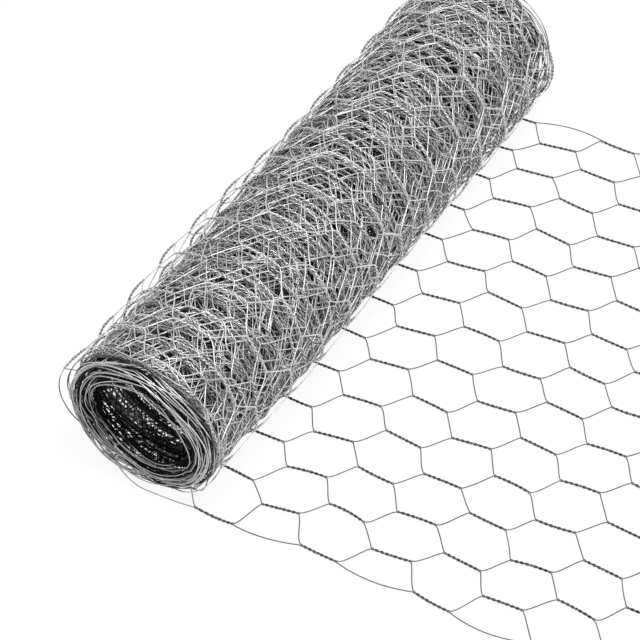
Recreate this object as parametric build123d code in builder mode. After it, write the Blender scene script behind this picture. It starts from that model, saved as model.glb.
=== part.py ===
"""Roll of hexagonal wire netting with the last stretch of it unrolled flat on the floor.

Pairs of galvanized wires are twisted together, part, and twist with their other neighbours, so the
netting is a field of long hexagons. It is wound into a hollow roll that lies on the stretch that
has been pulled off it, and its last turn has sprung open. +Y runs along the roll, +X along the
unrolled stretch, +Z up. The origin is at the middle of the roll's open core.
"""

import math
import os

from build123d import *

# Netting, in millimetres
wire_diameter = 1.0
mesh_width = 50.0  # from one twist to the next across the netting
twist_length = 37.0
slant_run = 17.0  # how far along the netting a single wire goes from one twist to the next
cells_across = 12
selvedge_bow = 5.0  # how far the edge wire bows out between its own twists

# Wound roll, in millimetres
roll_diameter = 148.0
core_diameter = 76.0
turn_count = 54
turns_in_step = 6  # turns that stand level with each other on the roll's ends
step_centre_share = 0.5
turn_stagger = 1.6  # how far every second step stands back on the roll's ends
seat_clearance = 0.2

# Unrolled stretch and the loose turn that it goes on into, in millimetres
sheet_columns = 10  # rows of twists, counted from the one under the roll
loose_columns = 5  # rows of twists that have sprung off the roll
loose_gap = 10.0  # how much farther they stand off the roll at most than where they lie on it

netting_width = cells_across * mesh_width
netting_thickness = 2 * wire_diameter
column_pitch = twist_length + slant_run
twist_bar_length = twist_length + wire_diameter
bow_length = twist_length + 2 * slant_run
rest_radius = roll_diameter / 2 + seat_clearance + netting_thickness / 2
floor_z = -(rest_radius + netting_thickness / 2)


def turn_edges(proud_y, sunk_y):
    """Corners of one end of the roll in section, from the core outwards: each step is proud or sunk."""
    core_radius = core_diameter / 2
    step_count = turn_count // turns_in_step
    step_pitch = (roll_diameter - core_diameter) / 2 / step_count
    corners = [(sunk_y, core_radius)]
    for step in range(step_count):
        edge_y = sunk_y if step % 2 else proud_y
        corners.append((edge_y, core_radius + (step + step_centre_share) * step_pitch))
    corners.append((sunk_y, roll_diameter / 2))
    return corners


def zigzag(column, near_row, far_row):
    """Corners of the single wires that cross from a row of twists to the next one."""
    edge_row, inner_row = (near_row, far_row) if column % 2 else (far_row, near_row)
    return [
        (inner_row if step % 2 else edge_row, step * mesh_width / 2 - netting_width / 2)
        for step in range(2 * cells_across + 1)
    ]


def twists(column, middle, length):
    """Twists of one row, side by side across the netting; odd rows have one more, on the edge wires."""
    with Locations((middle, 0)):
        with GridLocations(0, mesh_width, 1, cells_across + column % 2):
            Rectangle(length, netting_thickness)


def edge_wires(start, start_bow, end, end_bow):
    """A straight stretch of both edge wires, each end of it bowed out by a given length."""
    for side in (-1, 1):
        edge = side * netting_width / 2
        with BuildLine() as edge_wire:
            Line((start, edge + side * start_bow), (end, edge + side * end_bow))
        trace(edge_wire.line, line_width=wire_diameter)


def loose_folds():
    """Points across the roll, from the floor up, where the loose turn bends at the ends of its twists."""
    lying_radius = math.hypot(rest_radius, twist_length / 2)
    angle = math.atan2(twist_length / 2, rest_radius)
    fold_count = 2 * loose_columns
    folds = []
    for fold in range(fold_count + 1):
        radius = lying_radius + loose_gap * math.sin(math.pi * fold / fold_count)
        folds.append(Vector(-radius * math.sin(angle), 0, -radius * math.cos(angle)))
        angle += (twist_length if fold % 2 else slant_run) / radius
    folds.append(Vector(-rest_radius * math.sin(angle), 0, -rest_radius * math.cos(angle)))
    return folds


# The roll: a turned solid with an open core, its turns staggered on both ends
with BuildPart() as wound_roll:
    with BuildSketch(Plane.YZ):
        with BuildLine():
            end = netting_width / 2
            sunk = end - turn_stagger
            far_end = turn_edges(end, sunk)
            near_end = turn_edges(-end, -sunk)
            Polyline(*near_end, *reversed(far_end), close=True)
        make_face()
    revolve(axis=Axis.Y)
wound_roll.part.label = "wound_roll"

# The unrolled stretch: single wires, bowed edge wires, and the twists that hold them together
with BuildPart() as unrolled_sheet:
    with BuildSketch(Plane.XY.offset(floor_z + (netting_thickness - wire_diameter) / 2)):
        for column in range(sheet_columns - 1):
            row_end = column * column_pitch + twist_length / 2
            with BuildLine():
                Polyline(*zigzag(column, row_end, row_end + slant_run))
            trace(line_width=wire_diameter)
        for column in range(0, sheet_columns - 1, 2):
            bow_middle = column * column_pitch
            for side in (-1, 1):
                edge = side * netting_width / 2
                with BuildLine():
                    ThreePointArc(
                        (bow_middle - bow_length / 2, edge),
                        (bow_middle, edge + side * selvedge_bow),
                        (bow_middle + bow_length / 2, edge),
                    )
                trace(line_width=wire_diameter)
        sheet_length = (sheet_columns - 1) * column_pitch + twist_bar_length
        with Locations((-twist_bar_length / 2, 0)):
            Rectangle(
                sheet_length,
                netting_width + 2 * (selvedge_bow + wire_diameter),
                align=(Align.MIN, Align.CENTER),
                mode=Mode.INTERSECT,
            )
    extrude(amount=wire_diameter)
    with BuildSketch(Plane.XY.offset(floor_z)):
        for column in range(sheet_columns):
            twists(column, column * column_pitch, twist_bar_length)
    extrude(amount=netting_thickness)
unrolled_sheet.part.label = "unrolled_sheet"

# The loose turn: flat panels of netting folded round the roll, single wires and twists by turns.
# It starts on the first twists of the unrolled stretch and ends where it lies on the roll again.
with BuildPart() as loose_turn:
    folds = loose_folds()
    twist_end_bow = selvedge_bow * (1 - (twist_length / bow_length) ** 2)
    for panel, (start, end) in enumerate(zip(folds, folds[1:])):
        along = end - start
        column = -((panel + 1) // 2)
        plane = Plane(origin=start, x_dir=along, z_dir=along.cross(Vector(0, 1, 0)))
        near_bow, far_bow = (0, twist_end_bow) if column % 2 else (twist_end_bow, 0)
        if panel % 2:
            with BuildSketch(plane):
                twists(column, along.length / 2, along.length + wire_diameter)
            extrude(amount=netting_thickness / 2, both=True)
            if column % 2 == 0:
                with BuildSketch(plane):
                    edge_wires(0, twist_end_bow, along.length, twist_end_bow)
                extrude(amount=wire_diameter / 2, both=True)
        else:
            with BuildSketch(plane):
                with BuildLine():
                    Polyline(*zigzag(column, 0, along.length))
                trace(line_width=wire_diameter)
                edge_wires(0, near_bow, along.length, far_bow)
            extrude(amount=wire_diameter / 2, both=True)
        if panel == 0:
            split(bisect_by=Plane.YZ.offset(-twist_bar_length / 2), keep=Keep.BOTTOM)
loose_turn.part.label = "loose_turn"

os.makedirs("parts", exist_ok=True)
for piece in (wound_roll, unrolled_sheet, loose_turn):
    export_step(piece.part, f"parts/{piece.part.label}.step")
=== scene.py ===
import math
from functools import lru_cache

import bmesh
import bpy
import numpy as np
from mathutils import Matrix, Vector


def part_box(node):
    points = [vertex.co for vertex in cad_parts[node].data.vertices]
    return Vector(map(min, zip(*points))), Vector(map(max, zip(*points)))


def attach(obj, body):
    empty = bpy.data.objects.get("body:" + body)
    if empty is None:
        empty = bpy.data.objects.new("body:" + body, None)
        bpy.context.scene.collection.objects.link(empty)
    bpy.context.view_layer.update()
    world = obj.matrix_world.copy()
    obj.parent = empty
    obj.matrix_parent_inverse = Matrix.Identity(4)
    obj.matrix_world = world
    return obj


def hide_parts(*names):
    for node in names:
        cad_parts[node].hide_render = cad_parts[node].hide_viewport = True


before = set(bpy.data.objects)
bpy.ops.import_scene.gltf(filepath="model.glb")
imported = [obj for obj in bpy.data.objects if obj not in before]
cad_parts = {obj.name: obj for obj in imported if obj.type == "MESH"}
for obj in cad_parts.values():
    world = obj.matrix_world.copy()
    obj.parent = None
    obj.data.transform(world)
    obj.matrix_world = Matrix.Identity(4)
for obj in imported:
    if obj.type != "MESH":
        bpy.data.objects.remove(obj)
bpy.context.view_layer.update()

# Flat stretch: netting that has been pulled off the roll and lies on the floor. It is woven from
# galvanized steel wires that run its whole length, each twisted with its neighbour on one side and then
# with the one on the other. An edge wire is twisted with the outermost of them and bows out in between.
wire_radius = 0.00054
mesh_width = 0.050
cells_across = 12
twist_length = 0.037
slant_run = 0.017
row_pitch = twist_length + slant_run
half_width = cells_across * mesh_width / 2
wire_count = 2 * cells_across + 2
strand_radius = 0.00066  # from the middle line of a twist to that of either wire
eye_radius = 0.00090  # the same in the middle of the twist
eye_share = 0.11  # of the twist's length, on each side of its middle
twist_end_share = 0.12  # of its length, where its wires part
# the valleys where a twist's wires hide each other are darkened: painted shade
twist_valley, valley_rise = 0.00110, 0.0004  # from its middle line out, where its wires hide each other
zinc_gather = 0.2  # of a wire's radius, added to it in a twist
# a wound wire's inner side takes painted shade
inner_start = 0.3  # from the middle line of a wound wire out, in wire radii, where its inner side begins
twist_lean = math.tan(math.radians(5.0))  # one way in one row and the other way in the next
twist_scatter = 0.0009
lean_scatter = 0.024
twist_bow_scatter = 0.0006
leave_rising, leave_falling, enter_slope = 0.45, 0.9, 0.85  # how a single wire leaves and enters its twists
slope_scatter = 0.2
selvedge_bow = 0.0052
selvedge_bow_scatter = 0.0008
slack_bow = 0.003  # the near edge's bow where the netting leaves the roll
bow_step_factor, bow_extra_steps = 4, 2  # half a bow's steps, against those of a single wire
side_drift, drift_fade = 0.0065, 0.10  # towards the near edge, where the netting leaves the roll
flare, flare_start, flare_fade = 0.004, 0.05, 0.04  # of the near edge itself, along the netting
flare_edge, flare_rise = 0.25, 0.05
edge_lead, edge_lead_start, edge_lead_fade = 0.0125, 0.05, 0.055  # how far the near edge runs on
edge_cell_pull = 0.003  # of the outermost twists, away from the edge wires
swell, swell_wave, swell_start = 0.0016, 0.3, 0.15  # how the netting rises and falls on the floor
swell_seed = 7
wander_waves = 4
slowest_wave, fastest_wave = 0.6, 1.5
twist_chance, slant_chance, bow_chance = 11, 12, 13  # kinds of unevenness, each with its own numbers
chance_numbers = 4
row_offset = 1000  # keeps the seeds of the wound rows above 0
full_turn = 2 * math.pi

sheet_low, sheet_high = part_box("unrolled_sheet")
floor_z = sheet_low.z
lie_height = strand_radius + wire_radius * (1 + zinc_gather)  # of the netting's middle over the floor
last_row = round((sheet_high.x - twist_length / 2) / row_pitch)


@lru_cache(maxsize=None)
def uneven(kind, row, place):
    """Four fixed chance numbers for one place in the weave."""
    return np.random.default_rng((kind, row + row_offset, place)).normal(0, 1, chance_numbers)


def wander(a, b, seed):
    """Smooth unevenness from -1 to 1 over two coordinates, each about 1 for a wave."""
    draw = np.random.default_rng(seed)
    total = 0
    for _ in range(wander_waves):
        turn, phase = draw.uniform(0, full_turn, 2)
        pace = full_turn * draw.uniform(slowest_wave, fastest_wave)
        total = total + np.sin(pace * (a * math.cos(turn) + b * math.sin(turn)) + phase)
    return total / wander_waves


def pair_of(wire, row):
    """The twist that a wire is in, in one row, and its side; an edge wire skips every second row."""
    if row % 2:
        return wire // 2, -1 if wire % 2 == 0 else 1
    if wire in (0, wire_count - 1):
        return None, -1 if wire == 0 else 1
    return (wire - 1) // 2, -1 if wire % 2 else 1


def twist_line(pair, row, share):
    """Points on the middle line of a twist, along and across the netting, at shares from -0.5 to 0.5."""
    chance = uneven(twist_chance, row, pair)
    first = -half_width if row % 2 else mesh_width / 2 - half_width
    if row % 2 == 0 and pair in (0, cells_across - 1):
        first += edge_cell_pull if pair == 0 else -edge_cell_pull
    lean = (-twist_lean if row % 2 else twist_lean) + lean_scatter * chance[2]
    along = row * row_pitch + twist_scatter * chance[0] + share * twist_length
    across = first + pair * mesh_width + twist_scatter * chance[1] + lean * share * twist_length
    return along, across + twist_bow_scatter * chance[3] * (1 - (2 * share) ** 2)


def twisted_span(wire, row, steps, half_turns):
    """One wire of a twist, wound round its middle line one way and then back by as many half turns."""
    pair, side = pair_of(wire, row)
    share = np.linspace(-0.5, 0.5, steps)
    along, across = twist_line(pair, row, share)
    turn = math.pi * half_turns * (1 - 2 * np.abs(share))
    radius = strand_radius + (eye_radius - strand_radius) * np.clip(1 - np.abs(share) / eye_share, 0, 1)
    tightness = np.clip((0.5 - np.abs(share)) / twist_end_share, 0, 1)
    return along, across + side * radius * np.cos(turn), side * radius * np.sin(turn), across, tightness


def twist_end(wire, row, end):
    """Where a wire enters (end -0.5) or leaves (end 0.5) its twist in a row."""
    pair, side = pair_of(wire, row)
    along, across = twist_line(pair, row, end)
    return along, across + side * strand_radius


def single_span(wire, row, steps, closed):
    """The single wire from one row of twists to the next, or half an edge wire's bow."""
    pair, side = pair_of(wire, row)
    next_pair, _ = pair_of(wire, row + 1)
    on_edge = pair is None or next_pair is None
    inner_steps = bow_step_factor * steps + bow_extra_steps if on_edge else steps
    share = np.linspace(0, 1, inner_steps + 2)[1 : None if closed else -1]
    if on_edge:
        share = (share if next_pair is None else 1 + share) / 2
        bow_row = row if pair is None else row + 1
        start, end = twist_end(wire, bow_row - 1, 0.5), twist_end(wire, bow_row + 1, -0.5)
        bow = selvedge_bow + selvedge_bow_scatter * uneven(bow_chance, bow_row, wire)[0]
        if bow_row == 0 and wire == 0:
            bow = slack_bow
        eased = share
        bulge = side * bow * (1 - (2 * share - 1) ** 2)
    else:
        chance = uneven(slant_chance, row, wire)
        start, end = twist_end(wire, row, 0.5), twist_end(wire, row + 1, -0.5)
        leave = (leave_rising if end[1] > start[1] else leave_falling) + slope_scatter * chance[0]
        enter = enter_slope + slope_scatter * chance[1]
        eased = (3 - 2 * share) * share**2
        eased = eased + leave * share * (1 - share) ** 2 - enter * share**2 * (1 - share)
        bulge = 0
    along = start[0] + (end[0] - start[0]) * share
    across = start[1] + (end[1] - start[1]) * eased + bulge
    return along, across, 0 * share, across, 0 * share


def netting(name, rows, laid, lit, half_turns=4, twist_steps=41, single_steps=7, roundness=1,
            inner_shade=0):
    """A stretch of netting as one mesh of round wires, laid in its place, with marks for its painted light
    and shade.
    """
    curve = bpy.data.curves.new(name, "CURVE")
    curve.dimensions = "3D"
    curve.bevel_depth = wire_radius
    curve.bevel_resolution = roundness
    wire_lines, middle_lines, tightness_marks, lit_marks, wire_marks = [], [], [], [], []
    for wire in range(wire_count):
        spans = []
        for row in rows:
            if pair_of(wire, row)[0] is not None:
                spans.append(twisted_span(wire, row, twist_steps, half_turns))
            if row < last_row:
                spans.append(single_span(wire, row, single_steps, closed=row == rows[-1]))
        along, across, out, middle, tightness = np.concatenate(spans, axis=1)
        points = laid(along, across, out)
        spline = curve.splines.new("POLY")
        spline.points.add(len(points) - 1)
        spline.points.foreach_set("co", np.column_stack([points, np.ones(len(points))]).ravel())
        spline.points.foreach_set("radius", 1 + zinc_gather * tightness)
        wire_lines.append(points)
        middle_lines.append(laid(along, middle, 0 * out))
        tightness_marks.append(tightness)
        lit_marks.append(lit(along, across))
        wire_marks.append(np.full(len(points), wire))
    drawn = bpy.data.objects.new(name, curve)
    bpy.context.scene.collection.objects.link(drawn)
    mesh = bpy.data.meshes.new_from_object(drawn)
    bpy.data.objects.remove(drawn)
    bpy.data.curves.remove(curve)
    mesh.name = name

    # every point of a wire has become a ring of corners
    wire_marks = np.concatenate(wire_marks)
    sides = len(mesh.vertices) // len(wire_marks)
    places = np.empty(3 * len(mesh.vertices), dtype=np.float32)
    mesh.vertices.foreach_get("co", places)
    places = places.reshape(-1, sides, 3)
    # painted shade: darker in the valleys of twists and on the side of a wound wire that faces into the
    # roll
    from_middle = places - np.concatenate(middle_lines)[:, None]
    valley = np.clip((twist_valley - np.linalg.norm(from_middle, axis=2)) / valley_rise, 0, 1)
    twisted = np.concatenate(tightness_marks)[:, None] * valley
    outwards = np.concatenate(wire_lines)[:, None] * (1, 0, 1)
    outwards = outwards / np.linalg.norm(outwards, axis=2, keepdims=True)
    facing_in = -np.sum(from_middle * outwards, axis=2) / wire_radius
    inner_side = np.clip(facing_in + inner_start, 0, 1)
    lit_marks = np.concatenate(lit_marks)[:, None] * (1 - inner_shade * inner_side)
    for mark_name, marks in (("twisted", twisted.ravel()), ("lit", lit_marks.ravel())):
        mark = mesh.attributes.new(mark_name, "FLOAT", "POINT")
        mark.data.foreach_set("value", marks.astype(np.float32))

    # each wire has its own strip of the map of the surface
    corners = np.empty(len(mesh.loops), dtype=np.int32)
    mesh.loops.foreach_get("vertex_index", corners)
    strip = np.empty(2 * len(corners), dtype=np.float32)
    mesh.uv_layers[0].data.foreach_get("uv", strip)
    strip = strip.reshape(-1, 2)
    strip[:, 1] = (np.repeat(wire_marks, sides)[corners] + strip[:, 1]) / wire_count
    mesh.uv_layers[0].data.foreach_set("uv", strip.ravel())

    # the cut ends of the wires are closed
    shape = bmesh.new()
    shape.from_mesh(mesh)
    open_edges = [edge for edge in shape.edges if edge.is_boundary]
    bmesh.ops.holes_fill(shape, edges=open_edges, sides=sides)
    shape.to_mesh(mesh)
    shape.free()
    mesh.shade_smooth()
    piece = bpy.data.objects.new(name, mesh)
    bpy.context.scene.collection.objects.link(piece)
    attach(piece, "root")
    return piece


def near_edge(across):
    """1 on the near edge of the netting, and 0 from a little way in."""
    return np.clip((-flare_edge - across) / flare_rise, 0, 1)


def drifted(along, across):
    """Where a point of the flat netting lies across, pulled askew where the netting leaves the roll."""
    drift = side_drift * np.exp(-((along / drift_fade) ** 2))
    return across - drift - flare * near_edge(across) * np.exp(-(((along - flare_start) / flare_fade) ** 2))


def laid_flat(along, across, out):
    """Lays points of the netting on the floor, where it rises and falls a little."""
    rise = swell * (1 + wander(along / swell_wave, across / swell_wave, swell_seed))
    rise = rise * np.clip(along / swell_start, 0, 1)
    lead = edge_lead * near_edge(across) * np.exp(-(((along - edge_lead_start) / edge_lead_fade) ** 2))
    lead = lead * np.clip(along / edge_lead_start, 0, 1)
    return np.column_stack([along + lead, drifted(along, across), floor_z + lie_height + out + rise])


patch_scale, crystal_scale, grit_scale = 32.0, 420.0, 1400.0  # to the metre
patch_tones = (0.72, 1.28)
crystal_tones = (0.86, 1.14)
patch_roughness = (0.22, 0.46)
middle_lit = 0.5  # the brightness at which a wire has its middle colour


def zinc_coat_and_painted_shade():
    """Finish of zinc with small crystals and dull patches, and painted light and shade: darker in the
    valleys of twists and on deep turns, lighter up to Bright by the lit mark.
    """
    group = bpy.data.node_groups.new("zinc_coat_and_painted_shade", "ShaderNodeTree")
    for socket, kind in (("Lit", "Float"), ("Twisted", "Float"), ("Twist Shade", "Float"),
                         ("Bright", "Color"), ("Middle", "Color"), ("Deep", "Color")):
        group.interface.new_socket(socket, in_out="INPUT", socket_type=f"NodeSocket{kind}")
    for socket, kind in (("Color", "Color"), ("Roughness", "Float"), ("Height", "Float")):
        group.interface.new_socket(socket, in_out="OUTPUT", socket_type=f"NodeSocket{kind}")
    nodes, link = group.nodes, group.links.new
    given, put = nodes.new("NodeGroupInput"), nodes.new("NodeGroupOutput")
    place = nodes.new("ShaderNodeTexCoord").outputs["Object"]

    def texture(kind, scale, result):
        node = nodes.new(kind)
        node.inputs["Scale"].default_value = scale
        link(place, node.inputs["Vector"])
        return node.outputs[result]

    def ranged(value, from_low=0, from_high=1, to_low=0, to_high=1):
        node = nodes.new("ShaderNodeMapRange")
        node.inputs["From Min"].default_value = from_low
        node.inputs["From Max"].default_value = from_high
        node.inputs["To Min"].default_value = to_low
        node.inputs["To Max"].default_value = to_high
        link(value, node.inputs["Value"])
        return node.outputs["Result"]

    def times(a, b):
        node = nodes.new("ShaderNodeMath")
        node.operation = "MULTIPLY"
        link(a, node.inputs[0])
        link(b, node.inputs[1])
        return node.outputs["Value"]

    def mixed(share, a, b):
        node = nodes.new("ShaderNodeMix")
        node.data_type = "RGBA"
        link(share, node.inputs["Factor"])
        link(a, node.inputs["A"])
        link(b, node.inputs["B"])
        return node.outputs["Result"]

    patches = texture("ShaderNodeTexNoise", patch_scale, "Fac")
    crystals = texture("ShaderNodeTexVoronoi", crystal_scale, "Color")
    grit = texture("ShaderNodeTexNoise", grit_scale, "Fac")
    crystal = nodes.new("ShaderNodeSeparateColor")
    link(crystals, crystal.inputs["Color"])
    patch_tone = ranged(patches, to_low=patch_tones[0], to_high=patch_tones[1])
    crystal_tone = ranged(crystal.outputs["Red"], to_low=crystal_tones[0], to_high=crystal_tones[1])
    # painted shade in the valleys of twists
    twist_shaded = times(given.outputs["Twisted"], given.outputs["Twist Shade"])
    tone = times(times(patch_tone, crystal_tone), ranged(twist_shaded, to_low=1, to_high=0))

    # painted light and shade: the lit mark picks a colour from Deep through Middle to Bright
    deep_to_middle = ranged(given.outputs["Lit"], from_high=middle_lit)
    middle_to_bright = ranged(given.outputs["Lit"], from_low=middle_lit)
    colour = mixed(deep_to_middle, given.outputs["Deep"], given.outputs["Middle"])
    colour = mixed(middle_to_bright, colour, given.outputs["Bright"])
    toned = nodes.new("ShaderNodeVectorMath")
    toned.operation = "SCALE"
    link(colour, toned.inputs[0])
    link(tone, toned.inputs["Scale"])
    link(toned.outputs["Vector"], put.inputs["Color"])
    roughness = ranged(patches, to_low=patch_roughness[0], to_high=patch_roughness[1])
    link(roughness, put.inputs["Roughness"])
    link(grit, put.inputs["Height"])
    return group


zinc_group = zinc_coat_and_painted_shade()
zinc_metallic, zinc_specular = 0.45, 0.15
grit_strength, grit_depth = 0.35, 0.0002


def zinc(name, bright, middle, deep, twist_shade):
    """A zinc finish with its own colours, which the lit and twisted marks turn into painted light and
    shade.
    """
    material = bpy.data.materials.new(name)
    material.use_nodes = True
    nodes, link = material.node_tree.nodes, material.node_tree.links.new
    shader = nodes["Principled BSDF"]
    shader.inputs["Metallic"].default_value = zinc_metallic
    shader.inputs["Specular IOR Level"].default_value = zinc_specular
    coat = nodes.new("ShaderNodeGroup")
    coat.node_tree = zinc_group
    for mark_name, socket in (("lit", "Lit"), ("twisted", "Twisted")):
        mark = nodes.new("ShaderNodeAttribute")
        mark.attribute_name = mark_name
        link(mark.outputs["Fac"], coat.inputs[socket])
    coat.inputs["Bright"].default_value = (*bright, 1)
    coat.inputs["Middle"].default_value = (*middle, 1)
    coat.inputs["Deep"].default_value = (*deep, 1)
    coat.inputs["Twist Shade"].default_value = twist_shade
    bump = nodes.new("ShaderNodeBump")
    bump.inputs["Strength"].default_value = grit_strength
    bump.inputs["Distance"].default_value = grit_depth
    link(coat.outputs["Height"], bump.inputs["Height"])
    link(bump.outputs["Normal"], shader.inputs["Normal"])
    link(coat.outputs["Color"], shader.inputs["Base Color"])
    link(coat.outputs["Roughness"], shader.inputs["Roughness"])
    return material


def lit_flat(along, across):
    """Brightness of the flat netting, the same all over."""
    return np.ones_like(along)


# The flat stretch's zinc is painted far darker than the same zinc on the roll: painted shade.
flat_tones = (0.17, 0.17, 0.17), (0.17, 0.165, 0.16), (0.07, 0.07, 0.07)
flat_zinc_painted_dark = zinc("flat_zinc_painted_dark", *flat_tones, twist_shade=0.92)
flat_stretch = netting("flat_stretch", range(1, last_row + 1), laid_flat, lit_flat)
flat_stretch.data.materials.append(flat_zinc_painted_dark)
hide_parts("unrolled_sheet")

# Loose turn: the outermost turn of the netting, which has sprung open and stands off the tight roll
# along its upper side. It runs on into the flat stretch under the roll. Towards both ends it still
# clings to the roll, and bows of the near edge's wire hang out there.
turn_count = 54
core_radius = 0.0385
core_oval, core_oval_angle = 0.165, math.radians(297)
steps_per_turn = 720
loose_gap = 0.0125  # how far the turn stands off the roll at most
loose_peak_share = 0.62
cling_share = 0.8
cling_start, cling_rise = 0.17, 0.11  # towards the near end, from the middle of the roll
cling_end, cling_fall = math.radians(75), math.radians(32)  # up from the floor
bow_start, bow_rise = 0.286, 0.012
hanging_bows = (  # angle from the floor, spread of angle, and how far out
    (math.radians(84), math.radians(22), 0.0125),
    (math.radians(360 + 316), math.radians(14), 0.006),
)
far_cling_share, far_cling_start, far_cling_rise = 0.85, -0.15, 0.26  # towards the far end
slack_gap, slack_angle, slack_spread = 0.013, math.radians(300), math.radians(48)
slack_start, slack_rise, slack_turns = -0.15, 0.4, 10.0  # turns that hang slack at the far end's low side
spring_gap, spring_angle, spring_spread = 0.007, math.radians(116), math.radians(55)
spring_rise, spring_turns = 0.25, 2.5  # turns under the loose one that have sprung out, less and less
steepest_share = 0.2  # least cosine of the angle at which the floor still limits a turn

roll_low, roll_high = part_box("wound_roll")
outer_radius = (roll_high.x - roll_low.x) / 2 - wire_radius
under_radius = -floor_z - lie_height  # from the roll's axis to the netting on the floor


def turns_over(angle):
    """How many turns lie over a place on the roll, its angle counted on from the floor."""
    return np.clip(angle / full_turn - 1, 0, turn_count)


angles = np.linspace(0, (turn_count + 1) * full_turn, (turn_count + 1) * steps_per_turn + 1)
loose_share = np.clip(angles / full_turn, 0, 1)
wound_share = turns_over(angles) / turn_count
loose_radius = under_radius + (outer_radius - under_radius) * loose_share**2
tight_radius = outer_radius + (core_radius - outer_radius) * wound_share
tight_radius = tight_radius * (1 + core_oval * wound_share * np.cos(2 * (angles - core_oval_angle)))
radii = np.where(angles < full_turn, loose_radius, tight_radius)


def smooth(value):
    """An even rise from 0 to 1."""
    value = np.clip(value, 0, 1)
    return value * value * (3 - 2 * value)


def past(angle, middle, spread):
    """How far an angle is past a middle one, in spreads, on whichever turn it is."""
    return (np.mod(angle - middle + math.pi, full_turn) - math.pi) / spread


def lift(angle, across):
    """How far a turn stands off the tight roll."""
    share = np.clip(angle / full_turn, 0, 1)
    clings = smooth((-cling_start - across) / cling_rise) * (1 - smooth((angle - cling_end) / cling_fall))
    free = 1 - cling_share * clings
    free = free * (1 - far_cling_share * smooth((across - far_cling_start) / far_cling_rise))
    gap = loose_gap * np.sin(math.pi * share**loose_peak_share) * free
    slack = np.exp(-(past(angle, slack_angle, slack_spread) ** 2) - angle / full_turn / slack_turns)
    gap = gap + slack_gap * slack * smooth((across - slack_start) / slack_rise)
    for middle, spread, bow in hanging_bows:
        hanging = np.exp(-(((angle - middle) / spread) ** 2))
        gap = gap + bow * hanging * smooth((-bow_start - across) / bow_rise)
    over = turns_over(angle)
    sprung_out = np.exp(-(past(angle, spring_angle, spring_spread) ** 2) - over / spring_turns)
    return gap + spring_gap * sprung_out * smooth(over / spring_rise) * free


def over_floor(radius, angle):
    """The radius of a turn, less where it would go into the floor."""
    return np.minimum(radius, under_radius / np.maximum(np.cos(angle), steepest_share))


sprung = over_floor(radii + lift(angles, 0 * angles), angles)
steps = np.hypot(np.diff(sprung * np.sin(angles)), np.diff(sprung * np.cos(angles)))
wound_length = np.concatenate([[0], np.cumsum(steps)])
loose_length = wound_length[steps_per_turn]

tight_start, tight_rise = 0.85 * loose_length, 0.3 * loose_length
drift_length = 0.13 * loose_length  # up which the netting is still askew
edge_shift, edge_shift_wave = 0.014, 2.6  # how unevenly the turns stand on the ends; waves are in turns
edge_waver, edge_waver_wave = 0.0025, 0.8
core_back, core_back_start, core_back_rise = 0.003, 22.0, 26.0  # inner turns, pushed in at the near end
flush_turns = 4.0  # outermost turns, which stand evenly
step_slip, step_slip_wave = 0.040, 2.4  # how far the twists of a turn are out of step with the next
side_slip, side_slip_wave = 0.024, 2.6
side_slip_margin = 0.022  # from the netting's edges, where it takes no side slip
across_wave, slip_across_wave = 0.4, 0.38
dent, dent_wave = 0.0011, 0.16
ride_over, ride_over_wave = 0.0026, 0.8  # how far turns ride over each other
end_ride, end_ride_zone, end_ride_depth = 0.0030, 0.05, 5.0  # and how much farther at the ends
push_start, push_rise, push = 0.14, 0.16, 0.0066  # how the near end has been pushed aside
push_from, push_full = 0.4 * loose_length, 0.3 * loose_length
squeeze_share, core_give = 0.03, 3.0  # and pressed together, but for its core
edge_shift_seed, edge_waver_seed, side_slip_seed, step_slip_seed = 3, 4, 9, 5
dent_seed, ride_over_seed = 6, 8


def settled(along, across):
    """Where a point of the netting has settled as it was wound: its length from the floor, its place
    across, and how tight its turn is."""
    back = np.maximum(-along, 0)
    turn = np.interp(back, wound_length, angles) / full_turn
    tight = smooth((back - tight_start) / tight_rise)
    off_edge = smooth((half_width - np.abs(across)) / side_slip_margin)
    shift = edge_shift * wander(turn / edge_shift_wave, 0 * across, edge_shift_seed)
    shift = shift * smooth((turn - 1) / flush_turns)
    shift = shift + edge_waver * wander(turn / edge_waver_wave, across / across_wave, edge_waver_seed)
    side_slips = wander(turn / side_slip_wave, across / slip_across_wave, side_slip_seed)
    shift = shift + side_slip * off_edge * side_slips
    shift = shift + core_back * smooth((turn - core_back_start) / core_back_rise)
    slip = step_slip * wander(turn / step_slip_wave, across / slip_across_wave, step_slip_seed)
    from_floor = 1 - smooth(back / drift_length)
    shift = tight * shift + from_floor * (drifted(0 * across, across) - across)
    return np.maximum(back + tight * slip, 0), across + shift, tight


def laid_wound(along, across, out):
    """Lays points of the netting on the roll, where its turns lie a little unevenly, or on the floor."""
    back, settled_across, tight = settled(along, across)
    angle = np.interp(back, wound_length, angles)
    over = turns_over(angle)
    radius = np.interp(angle, angles, radii) + lift(angle, settled_across)
    dents = wander(np.cos(angle), np.sin(angle) + settled_across / dent_wave, dent_seed)
    riding = wander(angle / full_turn / ride_over_wave, settled_across / across_wave, ride_over_seed)
    at_end = smooth((np.abs(settled_across) - half_width + end_ride_zone) / end_ride_zone)
    at_end = at_end * smooth(over / end_ride_depth)
    radius = radius + tight * (dent * dents + (ride_over + end_ride * at_end) * riding)
    near_end = smooth((-push_start - settled_across) / push_rise)
    pushed = near_end * smooth((back - push_from) / push_full)
    squeezed = near_end * smooth(back / drift_length)
    radius = radius * (1 - squeeze_share * squeezed * (1 - core_give * over / turn_count))
    radius = over_floor(radius, angle) - out
    wound_x = -radius * np.sin(angle) - push * pushed
    wound = np.column_stack([wound_x, settled_across, -radius * np.cos(angle)])
    return np.where((along > 0)[:, None], laid_flat(along, across, out), wound)


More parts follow.
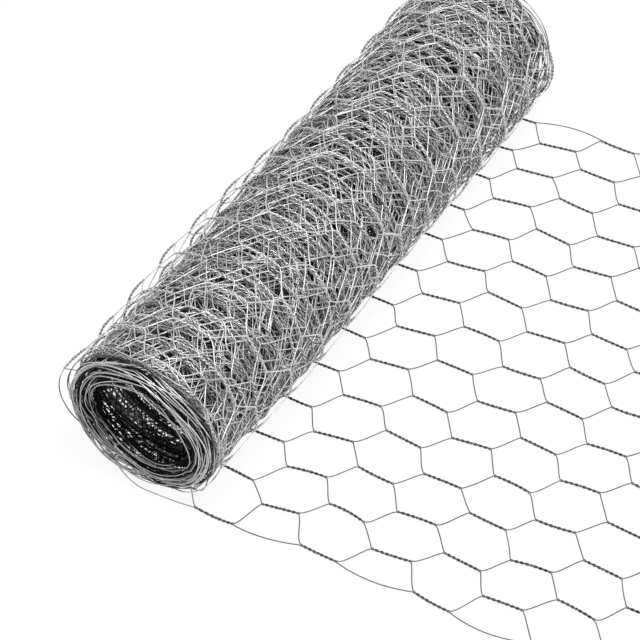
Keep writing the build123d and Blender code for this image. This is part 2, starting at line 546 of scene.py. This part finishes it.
# Painted light and shade on the roll: darker with depth, near the ends, towards the core, on the loose
# turn's low side and on wires' inner sides; lighter on edges that stand out.
bright_depth = 80.0  # turns over which the brightness falls
end_slope, end_shade = 0.0004, 0.95  # each turn further in is dark this much farther from the ends
end_rise = 0.006
rim_start, rim_rise, rim_brightness = 0.0044, 0.0025, 1.0  # edge wires that stand out this far are bright
rim_fade, rim_fade_start, rim_fade_rise = 0.2, 20.0, 30.0  # less on the turns further in
core_shade, core_shade_start, core_shade_rise = 0.80, 24.0, 20.0  # turns further in are darker still
low_shade, low_shade_start, low_shade_rise = 0.78, math.radians(100), math.radians(70)  # up from the floor
# painted shade on the side of each wire that faces into the roll
loose_inner_shade = 0.1  # of the brightness, lost on the side of a wire that faces into the roll


def lit_wound(along, across):
    """Painted light and shade of the netting: darker with each turn further in, near the ends, towards the
    core and on the loose turn's low side; lighter on edges that stand out on an end.
    """
    back, settled_across, _ = settled(along, across)
    angle = np.interp(back, wound_length, angles)
    over = turns_over(angle)
    proud = np.abs(settled_across) - half_width
    near_end = smooth((proud + end_slope * over) / end_rise)
    deep = np.exp(-over / bright_depth) * (1 - end_shade * near_end)
    deep = deep * (1 - core_shade * smooth((over - core_shade_start) / core_shade_rise))
    rim = rim_brightness * smooth((proud - rim_start) / rim_rise)
    rim = rim * (1 - rim_fade * smooth((over - rim_fade_start) / rim_fade_rise))
    # painted shade on the low side of the loose turn
    low_side_light = low_shade + (1 - low_shade) * smooth((angle - low_shade_start) / low_shade_rise)
    return np.maximum(deep, rim) * low_side_light


# Bright is painted light and Deep is painted shade; the lit mark mixes them through Middle
wound_tones = (0.90, 0.90, 0.90), (0.49, 0.481, 0.463), (0.008, 0.0075, 0.007)
loose_zinc = zinc("loose_zinc", *wound_tones, twist_shade=0.5)
loose_rows = round(loose_length / row_pitch)
loose_detail = dict(twist_steps=31, single_steps=5, inner_shade=loose_inner_shade)
loose_turn = netting("loose_outer_turn", range(-loose_rows, 1), laid_wound, lit_wound, **loose_detail)
loose_turn.data.materials.append(loose_zinc)
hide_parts("loose_turn")

# Wound turns: the rest of the netting, wound tight round a hollow core that has been pressed oval. The
# turns lie on each other with their twists out of step, and their edges show on the ends. Turns that
# lie deeper are woven with fewer steps, because less of them is seen.
# the roll's zinc carries painted light on its outer turns and painted shade deeper in
wound_zinc_light_and_shade = zinc("wound_zinc_light_and_shade", *wound_tones, twist_shade=0.88)
# painted shade on the side of each wire that faces into the roll
inner_shade = 0.6  # of the brightness, lost on the side of a wire that faces into the roll
outer_detail = dict(half_turns=4, twist_steps=25, single_steps=3, roundness=1)
middle_detail = dict(half_turns=3, twist_steps=15, single_steps=2, roundness=0)
lower_detail = dict(half_turns=3, twist_steps=11, single_steps=2, roundness=0)
hidden_detail = dict(half_turns=2, twist_steps=4, single_steps=1, roundness=0)
core_detail = dict(half_turns=2, twist_steps=7, single_steps=1, roundness=0)
outer_rows, middle_rows, lower_rows, core_rows = 18, 38, 55, 48
first_row = -int((wound_length[-1] - twist_length) / row_pitch)
hidden_rows = -first_row - loose_rows - outer_rows - middle_rows - lower_rows - core_rows
groups = (
    (outer_rows, outer_detail),
    (middle_rows, middle_detail),
    (lower_rows, lower_detail),
    (hidden_rows // 2, hidden_detail),
    (hidden_rows - hidden_rows // 2, hidden_detail),
    (core_rows, core_detail),
)
outside = -loose_rows
for number, (row_count, detail) in enumerate(groups):
    rows = range(outside - row_count, outside)
    outside -= row_count
    turns_name = f"wound_turns_{number + 1}"
    turns = netting(turns_name, rows, laid_wound, lit_wound, inner_shade=inner_shade, **detail)
    turns.data.materials.append(wound_zinc_light_and_shade)
    if number == 0:
        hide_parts("wound_roll")

# Floor: a plain sheet of pale board that runs past the view on every side. It is white where it is
# seen, and keeps a little of the roll's shadow.
floor_reach = 6.0
board_colour = (0.75, 0.75, 0.75, 1)
board_roughness = 0.9
white_strength = 1.05
white_share = 0.88  # of what is seen, the rest being the board in its light and shadow
floor_mesh = bpy.data.meshes.new("floor")
shape = bmesh.new()
bmesh.ops.create_grid(shape, x_segments=1, y_segments=1, size=floor_reach)
bmesh.ops.translate(shape, verts=shape.verts, vec=(0, 0, floor_z))
shape.to_mesh(floor_mesh)
shape.free()
floor = bpy.data.objects.new("floor", floor_mesh)
bpy.context.scene.collection.objects.link(floor)


def seen(nodes, link):
    """1 where a surface is seen, straight, mirrored or through something, and 0 where it only lights."""
    path = nodes.new("ShaderNodeLightPath")
    total = path.outputs["Is Camera Ray"]
    for ray in ("Is Glossy Ray", "Is Transmission Ray"):
        node = nodes.new("ShaderNodeMath")
        node.use_clamp = True
        link(total, node.inputs[0])
        link(path.outputs[ray], node.inputs[1])
        total = node.outputs["Value"]
    return total


white_board = bpy.data.materials.new("white_board")
white_board.use_nodes = True
nodes, link = white_board.node_tree.nodes, white_board.node_tree.links.new
board = nodes["Principled BSDF"]
board.inputs["Base Color"].default_value = board_colour
board.inputs["Roughness"].default_value = board_roughness
white = nodes.new("ShaderNodeEmission")
white.inputs["Strength"].default_value = white_strength
cover = nodes.new("ShaderNodeMath")
cover.operation = "MULTIPLY"
cover.inputs[1].default_value = white_share
link(seen(nodes, link), cover.inputs[0])
blend = nodes.new("ShaderNodeMixShader")
link(cover.outputs["Value"], blend.inputs["Fac"])
link(board.outputs["BSDF"], blend.inputs[1])
link(white.outputs["Emission"], blend.inputs[2])
link(blend.outputs["Shader"], nodes["Material Output"].inputs["Surface"])
floor_mesh.materials.append(white_board)

# Light: a white room, one large soft lamp overhead, and a smaller one above the netting's near side.
# The camera sees the room as plain white.
room_strength, seen_room_strength = 0.38, 1.0
lamp_aim = Vector((0.1, 0, 0))
world = bpy.data.worlds.new("studio")
bpy.context.scene.world = world
world.use_nodes = True
nodes, link = world.node_tree.nodes, world.node_tree.links.new
room = nodes["Background"]
room.inputs["Color"].default_value = (1, 1, 1, 1)
strength = nodes.new("ShaderNodeMapRange")
strength.inputs["To Min"].default_value = room_strength
strength.inputs["To Max"].default_value = seen_room_strength
path = nodes.new("ShaderNodeLightPath")
link(path.outputs["Is Camera Ray"], strength.inputs["Value"])
link(strength.outputs["Result"], room.inputs["Strength"])


def soft_lamp(name, size, power, place):
    """A square lamp that faces the roll."""
    lamp = bpy.data.lights.new(name, "AREA")
    lamp.size = size
    lamp.energy = power
    stand = bpy.data.objects.new(name, lamp)
    stand.location = place
    stand.rotation_euler = (place - lamp_aim).to_track_quat("Z", "Y").to_euler()
    bpy.context.scene.collection.objects.link(stand)


soft_lamp("overhead_lamp", size=2.0, power=10, place=Vector((0.15, 0.15, 2.4)))
soft_lamp("key_lamp", size=1.0, power=33, place=Vector((0.5, -0.4, 2.1)))

# Camera: at the angle of the photo, fitted to the rows of twists of the flat stretch.
azimuth, elevation = math.radians(29.58), math.radians(44.6)
distance = 2.2756
aim = Vector((0.0639, -0.1246, 0.0034))
lens = 145.9
view_reach = 20
level = math.cos(elevation)
away = Vector((math.sin(azimuth) * level, -math.cos(azimuth) * level, math.sin(elevation)))
camera = bpy.data.objects.new("camera", bpy.data.cameras.new("camera"))
camera.data.lens = lens
camera.data.clip_end = view_reach
camera.location = aim + away * distance
camera.rotation_euler = away.to_track_quat("Z", "Y").to_euler()
bpy.context.scene.collection.objects.link(camera)
bpy.context.scene.camera = camera
bpy.context.scene.view_settings.view_transform = "Standard"
